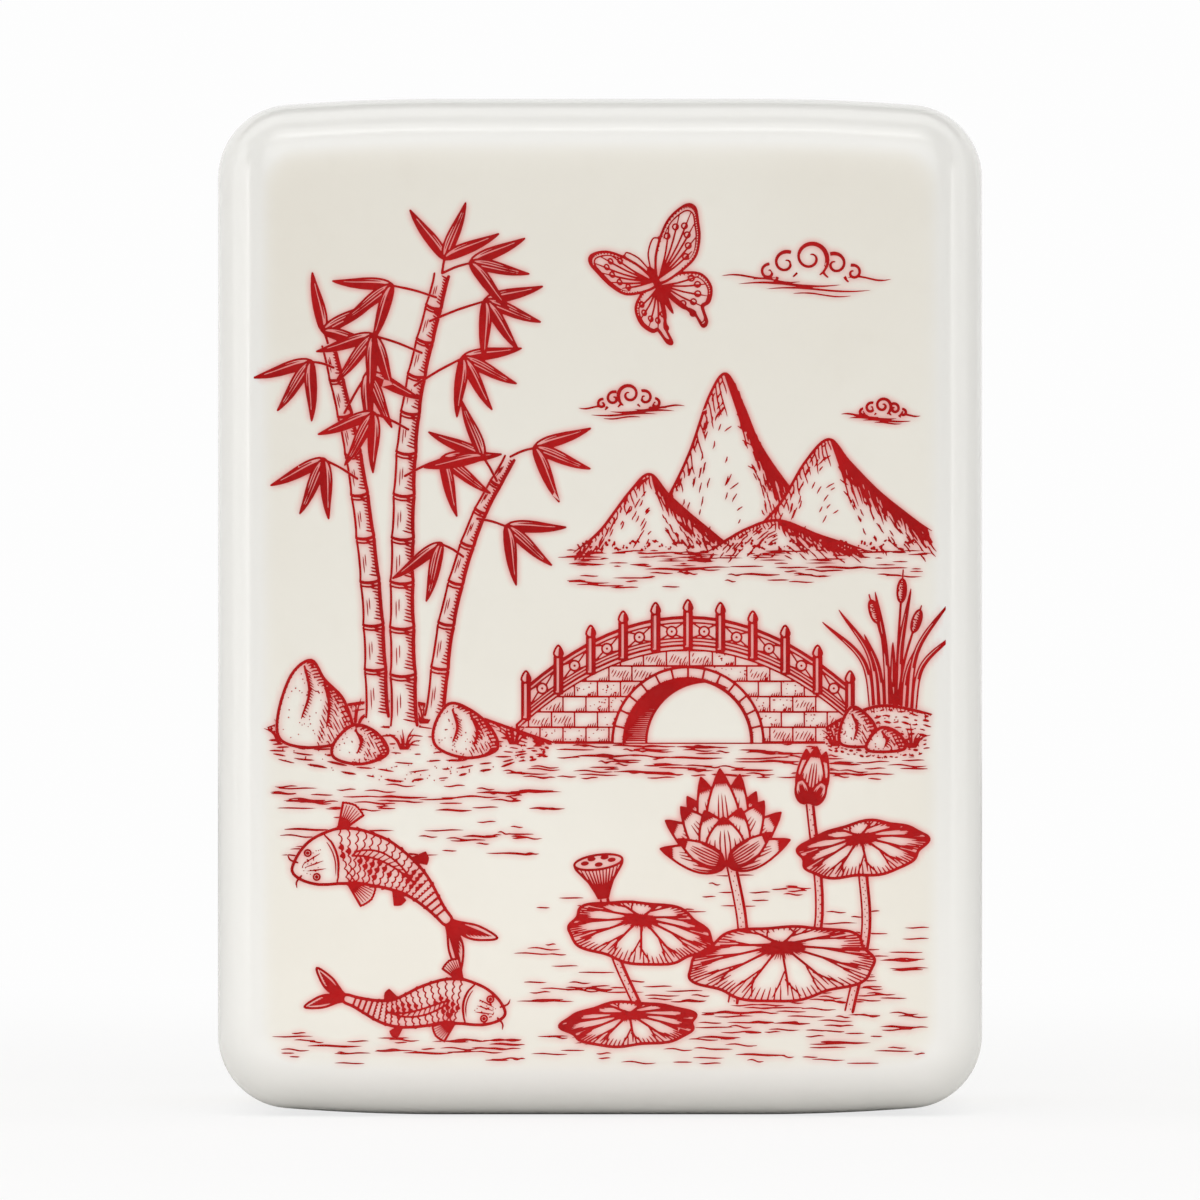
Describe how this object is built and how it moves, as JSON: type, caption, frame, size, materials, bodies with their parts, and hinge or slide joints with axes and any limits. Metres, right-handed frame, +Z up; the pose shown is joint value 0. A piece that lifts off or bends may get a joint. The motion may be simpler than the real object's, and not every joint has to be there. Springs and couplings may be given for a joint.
{
  "type": "mahjong tile",
  "caption": "Upright two-layer mahjong tile with rounded corners and edges and a fine red line picture printed on its white face.",
  "frame": {"origin": "centre of the tile's foot, midway across its width and its depth, on the surface that it stands on", "axes": "+Z up the tile's height, +X to the right as its face is seen, and the printed face looks along -Y, so the back faces +Y"},
  "size_m": [0.03, 0.022, 0.04],
  "materials": {
    "face_white": "polished milk-white melamine",
    "bond_line": "thin cured adhesive, polished flush",
    "back_ivory": "polished warm ivory melamine",
    "red_print": "glossy dark red print film"
  },
  "bodies": {
    "root": {"face_block": "face_white", "bond_layer": "bond_line", "back_block": "back_ivory", "ink_clouds": "red_print", "ink_mountains": "red_print", "ink_butterfly": "red_print", "ink_ripples": "red_print", "ink_reeds": "red_print", "ink_bridge": "red_print", "ink_banks": "red_print", "ink_bamboo_stalks": "red_print", "ink_rocks": "red_print", "ink_bamboo_leaves": "red_print", "ink_lotus_leaves": "red_print", "ink_lotus_flowers": "red_print", "ink_carp": "red_print"}
  },
  "joints": []
}
